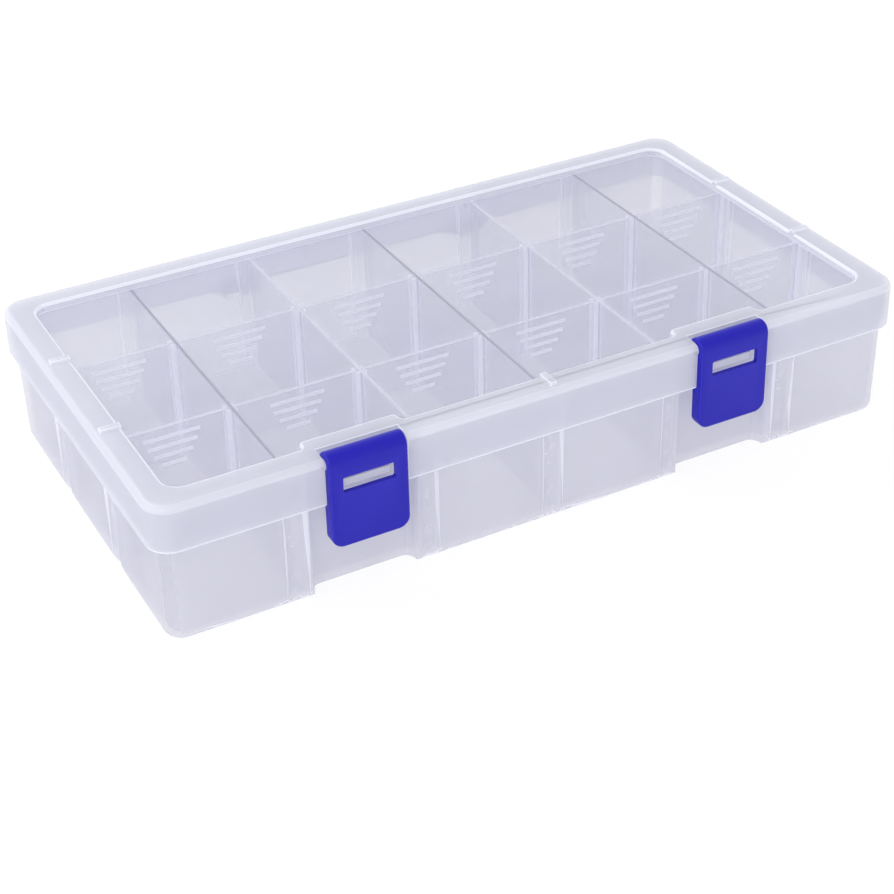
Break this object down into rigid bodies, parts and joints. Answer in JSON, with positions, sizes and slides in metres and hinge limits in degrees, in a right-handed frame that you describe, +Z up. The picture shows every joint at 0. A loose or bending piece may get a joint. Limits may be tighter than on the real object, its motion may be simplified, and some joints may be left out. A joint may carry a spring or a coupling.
{
  "type": "compartment storage box",
  "caption": "Flat lidded storage box for small parts: sunk lid panel, clip latches at the front, rear hinges, fixed walls and loose dividers.",
  "frame": {"origin": "centre of the base face, which is the face the box stands on", "axes": "+X along the front to the right, +Y from the latches to the rear hinges, +Z up"},
  "size_m": [0.23, 0.1287, 0.044],
  "materials": {
    "tray_plastic": "translucent milky polypropylene, moulded, slightly lavender",
    "lid_plastic": "translucent milky polypropylene, moulded, slightly lavender",
    "divider_plastic": "translucent milky polypropylene, moulded",
    "latch_plastic": "opaque royal blue polypropylene, moulded, satin"
  },
  "bodies": {
    "tray_body": {"tray": "tray_plastic", "divider_1_front": "divider_plastic", "divider_1_back": "divider_plastic", "divider_2_front": "divider_plastic", "divider_2_back": "divider_plastic", "divider_3_front": "divider_plastic", "divider_3_back": "divider_plastic", "divider_4_front": "divider_plastic", "divider_4_back": "divider_plastic", "divider_5_front": "divider_plastic", "divider_5_back": "divider_plastic", "divider_6_front": "divider_plastic", "divider_6_back": "divider_plastic"},
    "lid_body": {"lid": "lid_plastic"},
    "latch_left_body": {"latch_left": "latch_plastic"},
    "latch_right_body": {"latch_right": "latch_plastic"}
  },
  "joints": [
    {"name": "lid_hinge", "type": "hinge", "parent": "tray_body", "child": "lid_body", "pos_m": [0, 0.0633, 0.0284], "axis": [-1, 0, 0], "range_deg": [0, 180]},
    {"name": "latch_left_hinge", "type": "hinge", "parent": "lid_body", "child": "latch_left_body", "pos_m": [-0.0565, -0.0596, 0.0406], "axis": [-1, 0, 0], "range_deg": [0, 180]},
    {"name": "latch_right_hinge", "type": "hinge", "parent": "lid_body", "child": "latch_right_body", "pos_m": [0.0565, -0.0596, 0.0406], "axis": [-1, 0, 0], "range_deg": [0, 180]}
  ]
}
